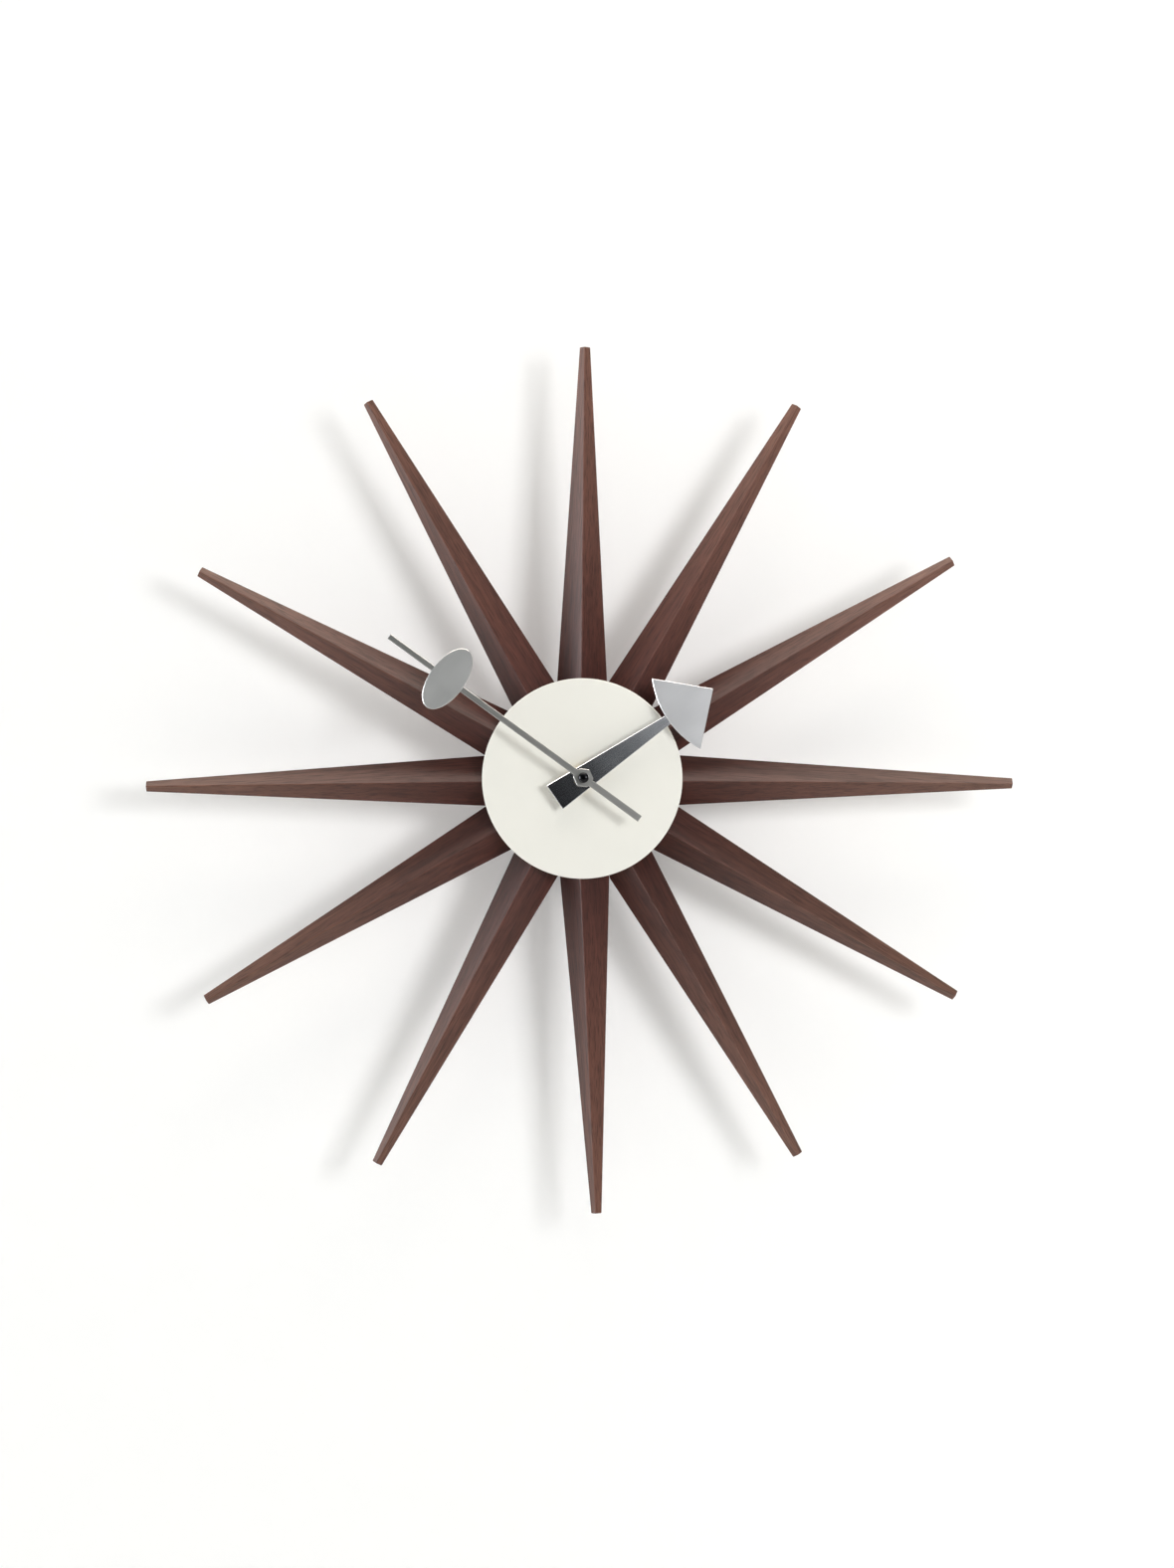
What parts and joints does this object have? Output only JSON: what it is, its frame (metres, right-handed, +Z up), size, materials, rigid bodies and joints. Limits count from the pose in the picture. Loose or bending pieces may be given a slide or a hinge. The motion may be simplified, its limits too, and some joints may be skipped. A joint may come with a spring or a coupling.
{
  "type": "sunburst wall clock",
  "caption": "Wall clock with a plain round dial and tapering square wooden rays around a hub drum, two shaped hands and a battery quartz movement, hung by a keyhole.",
  "frame": {"origin": "where the hands' axis meets the wall plane, at the centre of the drum's rear rim", "axes": "+Z up with the clock hung upright, +Y into the wall, the dial faces -Y, +X to the right seen from the front"},
  "size_m": [0.47, 0.0785, 0.4699],
  "materials": {
    "walnut": "satin oiled walnut",
    "dial_paint": "smooth satin off-white paint",
    "drum_paint": "satin black powder coat",
    "hand_satin": "fine brushed satin",
    "hand_polished": "polished",
    "cap_nut_black": "black chrome, polished",
    "steel": "bright zinc plate",
    "yellow_zinc": "yellow zinc plate",
    "brass": "turned brass",
    "contact_nickel": "nickel-plated spring strip",
    "case_plastic": "fine-textured black ABS",
    "plate_plastic": "natural acetal",
    "gear_plastic": "moulded natural acetal",
    "centre_wheel_brass": "stamped brass",
    "knob_plastic": "moulded dark grey ABS",
    "magnet": "plain sintered magnet",
    "soft_iron": "annealed lamination",
    "copper_winding": "enamelled copper wire",
    "board_laminate": "green solder mask",
    "chip_epoxy": "black epoxy blob",
    "crystal_can": "drawn metal can",
    "rubber": "black rubber",
    "battery_jacket": "printed foil jacket, plain"
  },
  "bodies": {
    "hub": {"hub_drum": "drum_paint", "hanger_plate": "drum_paint", "hanger_rivets": "steel", "dial_disc": "dial_paint", "ray_01": "walnut", "ray_02": "walnut", "ray_03": "walnut", "ray_04": "walnut", "ray_05": "walnut", "ray_06": "walnut", "ray_07": "walnut", "ray_08": "walnut", "ray_09": "walnut", "ray_10": "walnut", "ray_11": "walnut", "ray_12": "walnut", "ray_screws": "yellow_zinc", "movement_case": "case_plastic", "movement_cover": "case_plastic", "cover_screws": "steel", "drum_gasket": "rubber", "bush_washer": "brass", "bush_nut": "brass", "train_plate": "plate_plastic", "plate_screws": "steel", "stator": "soft_iron", "coil_core": "soft_iron", "coil_bobbin": "plate_plastic", "coil_winding": "copper_winding", "stator_screws": "steel", "circuit_board": "board_laminate", "board_screws": "steel", "clock_chip": "chip_epoxy", "quartz_crystal": "crystal_can", "battery": "battery_jacket", "positive_contact": "contact_nickel", "negative_contact": "contact_nickel"},
    "minute_hand": {"minute_arbor": "brass", "clutch_spring": "steel", "minute_hand_arm": "hand_satin", "minute_hand_plate": "hand_satin", "minute_cap_nut": "cap_nut_black"},
    "hour_hand": {"hour_wheel": "gear_plastic", "hour_collet": "brass", "hour_hand_arm": "hand_polished", "hour_hand_plate": "hand_satin"},
    "minute_wheel": {"minute_wheel": "gear_plastic"},
    "setting_knob": {"setting_shaft": "gear_plastic", "setting_knob": "knob_plastic"},
    "centre_wheel": {"centre_wheel": "centre_wheel_brass"},
    "third_wheel": {"third_wheel": "gear_plastic"},
    "fourth_wheel": {"fourth_wheel": "gear_plastic"},
    "fifth_wheel": {"fifth_wheel": "gear_plastic"},
    "rotor": {"rotor_arbor": "gear_plastic", "rotor_magnet": "magnet"}
  },
  "joints": [
    {"name": "minute_hand_turn", "type": "hinge", "parent": "hub", "child": "minute_hand", "pos_m": [0, -0.07, 0], "axis": [0, 1, 0], "continuous": true},
    {"name": "hour_hand_turn", "type": "hinge", "parent": "hub", "child": "hour_hand", "pos_m": [0, -0.06, 0], "axis": [0, 1, 0], "continuous": true},
    {"name": "minute_wheel_turn", "type": "hinge", "parent": "hub", "child": "minute_wheel", "pos_m": [0.00902, -0.051, 0.00328], "axis": [0, 1, 0], "continuous": true},
    {"name": "setting_knob_turn", "type": "hinge", "parent": "hub", "child": "setting_knob", "pos_m": [0.01804, -0.038, 0.00657], "axis": [0, 1, 0], "continuous": true},
    {"name": "fourth_wheel_turn", "type": "hinge", "parent": "hub", "child": "fourth_wheel", "pos_m": [-0.00661, -0.045, 0.0112], "axis": [0, 1, 0], "continuous": true},
    {"name": "centre_wheel_turn", "type": "hinge", "parent": "hub", "child": "centre_wheel", "pos_m": [0, -0.048, 0], "axis": [0, 1, 0], "continuous": true},
    {"name": "third_wheel_turn", "type": "hinge", "parent": "hub", "child": "third_wheel", "pos_m": [-0.00779, -0.046, 0.0045], "axis": [0, 1, 0], "continuous": true},
    {"name": "fifth_wheel_turn", "type": "hinge", "parent": "hub", "child": "fifth_wheel", "pos_m": [-0.00142, -0.044, 0.0142], "axis": [0, 1, 0], "continuous": true},
    {"name": "rotor_turn", "type": "hinge", "parent": "hub", "child": "rotor", "pos_m": [0.0041, -0.045, 0.01517], "axis": [0, 1, 0], "continuous": true}
  ],
  "couplings": [
    {"joint": "hour_hand_turn", "follows": "minute_hand_turn", "ratio": 0.083333},
    {"joint": "minute_wheel_turn", "follows": "minute_hand_turn", "ratio": -0.33333},
    {"joint": "setting_knob_turn", "follows": "minute_hand_turn", "ratio": 1},
    {"joint": "centre_wheel_turn", "follows": "fourth_wheel_turn", "ratio": 0.016667},
    {"joint": "third_wheel_turn", "follows": "fourth_wheel_turn", "ratio": -0.13333},
    {"joint": "fifth_wheel_turn", "follows": "fourth_wheel_turn", "ratio": -5},
    {"joint": "rotor_turn", "follows": "fourth_wheel_turn", "ratio": 30}
  ]
}
